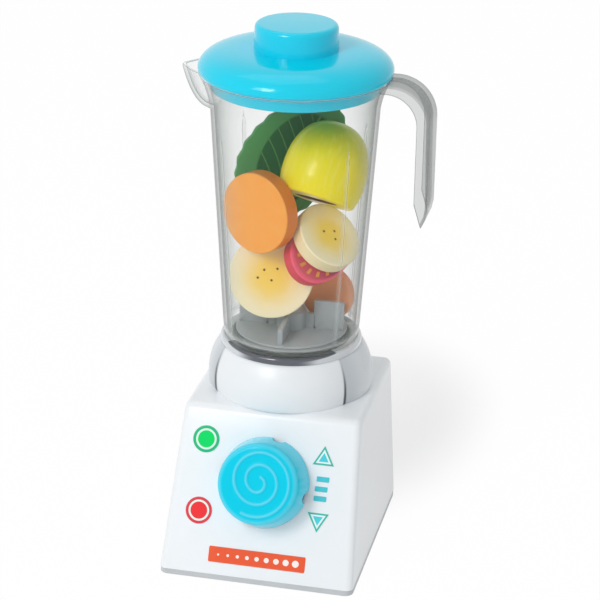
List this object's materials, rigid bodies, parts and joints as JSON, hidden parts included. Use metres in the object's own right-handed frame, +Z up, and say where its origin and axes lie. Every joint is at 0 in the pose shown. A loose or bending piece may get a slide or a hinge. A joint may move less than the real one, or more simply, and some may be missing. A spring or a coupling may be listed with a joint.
{
  "type": "toy blender",
  "caption": "Toy blender with a tapered base, a turning dial, a lift-off clear jar with a finned rotor and wooden play food, and a domed lid.",
  "frame": {"origin": "on the resting plane, on the axis of the jar", "axes": "+Z up along the jar's axis, -Y towards the front with the dial, -X towards the spout and +X towards the handle"},
  "size_m": [0.145, 0.1471, 0.31],
  "materials": {
    "white_plastic": "smooth moulded, glossy",
    "grey_plastic": "smooth moulded",
    "collar_plastic": "polished, mirror-like highlights",
    "slate_plastic": "dark and glossy",
    "clear_plastic": "clear moulded",
    "rotor_plastic": "smooth moulded, satin",
    "gear_plastic": "natural white moulded",
    "steel": "bright drawn",
    "blue_plastic": "smooth moulded, glossy",
    "green_print": "printed sticker",
    "red_print": "printed sticker",
    "aqua_print": "printed sticker",
    "coral_print": "printed sticker",
    "orange_wood": "painted, satin",
    "cream_wood": "painted, satin",
    "berry_wood": "painted, satin",
    "peach_wood": "painted, satin",
    "pear_wood": "painted, satin",
    "leaf_board": "painted, satin"
  },
  "bodies": {
    "base": {"base_housing": "white_plastic", "bottom_plate": "grey_plastic", "plate_screws": "steel", "bearing_post": "grey_plastic", "shaft_bush": "gear_plastic", "dial_bush": "gear_plastic", "collar": "collar_plastic", "seat_ring": "slate_plastic", "go_sticker": "green_print", "stop_sticker": "red_print", "faster_sticker": "aqua_print", "slower_sticker": "aqua_print", "level_sticker": "aqua_print", "front_label": "coral_print"},
    "dial": {"dial_knob": "blue_plastic", "dial_shaft": "steel", "dial_clip": "steel", "bevel_gear": "gear_plastic", "gear_screw": "steel"},
    "drive": {"drive_shaft": "steel", "drive_clip": "steel", "bevel_pinion": "gear_plastic", "drive_coupler": "grey_plastic"},
    "jar": {"jar": "clear_plastic", "jar_floor": "clear_plastic", "jar_skirt": "clear_plastic", "jar_boss": "clear_plastic", "jar_handle": "clear_plastic", "rotor_bush": "gear_plastic"},
    "rotor": {"rotor": "rotor_plastic", "rotor_clip": "steel", "orange_slice": "orange_wood", "banana_slice": "cream_wood", "banana_slice_small": "cream_wood", "strawberry_slice": "berry_wood", "peach_slice": "peach_wood", "pear_half": "pear_wood", "leaf": "leaf_board"},
    "lid": {"lid": "blue_plastic", "lid_cap": "blue_plastic"}
  },
  "joints": [
    {"name": "dial_spin", "type": "hinge", "parent": "base", "child": "dial", "pos_m": [0, -0.06344, 0.05465], "axis": [0, -0.9153, 0.4029], "continuous": true},
    {"name": "drive_spin", "type": "hinge", "parent": "base", "child": "drive", "pos_m": [0, 0, 0.06], "axis": [0, 0, 1], "continuous": true},
    {"name": "jar_lift", "type": "slide", "parent": "base", "child": "jar", "axis": [0, 0, 1], "range_m": [0, 0.12]},
    {"name": "rotor_spin", "type": "hinge", "parent": "jar", "child": "rotor", "pos_m": [0, 0, 0.126], "axis": [0, 0, 1], "continuous": true},
    {"name": "lid_lift", "type": "slide", "parent": "jar", "child": "lid", "axis": [0, 0, 1], "range_m": [0, 0.1]}
  ],
  "couplings": [
    {"joint": "drive_spin", "follows": "dial_spin", "ratio": -2},
    {"joint": "rotor_spin", "follows": "dial_spin", "ratio": -2}
  ]
}
